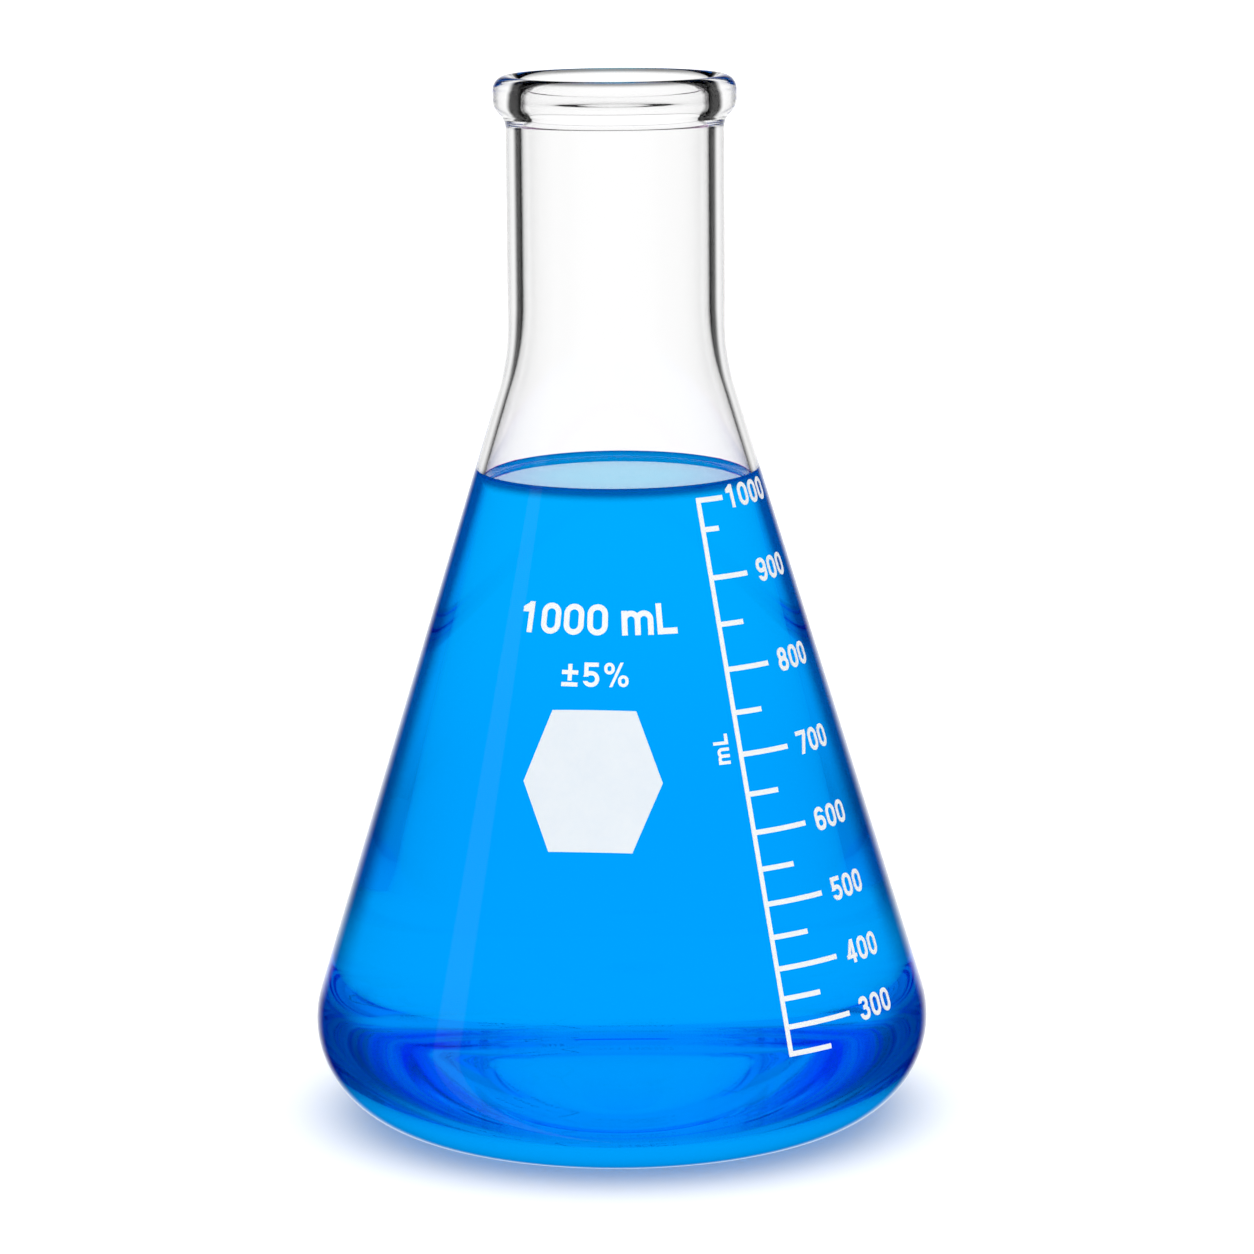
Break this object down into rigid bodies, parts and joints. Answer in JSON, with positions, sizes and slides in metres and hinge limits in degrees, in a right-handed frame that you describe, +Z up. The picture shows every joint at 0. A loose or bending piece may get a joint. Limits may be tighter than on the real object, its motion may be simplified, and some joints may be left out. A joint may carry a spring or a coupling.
{
  "type": "conical flask",
  "caption": "Conical laboratory flask of clear glass with a beaded rim and a white enamel scale, filled with a blue liquid for mixing, heating and rough measuring.",
  "frame": {"origin": "centre of the face that the flask stands on", "axes": "+Z up along the axis of the flask, -Y towards the front with the large label"},
  "size_m": [0.131, 0.131, 0.2216],
  "materials": {
    "clear_glass": "clear, fire polished",
    "blue_liquid": "clear blue liquid",
    "white_enamel": "fired white enamel, satin"
  },
  "bodies": {
    "root": {"glass_flask": "clear_glass", "blue_liquid": "blue_liquid", "scale_lines": "white_enamel", "capacity_mark": "white_enamel", "tolerance_mark": "white_enamel", "unit_mark": "white_enamel", "writing_spot": "white_enamel", "numeral_300": "white_enamel", "numeral_400": "white_enamel", "numeral_500": "white_enamel", "numeral_600": "white_enamel", "numeral_700": "white_enamel", "numeral_800": "white_enamel", "numeral_900": "white_enamel", "numeral_1000": "white_enamel"}
  },
  "joints": []
}
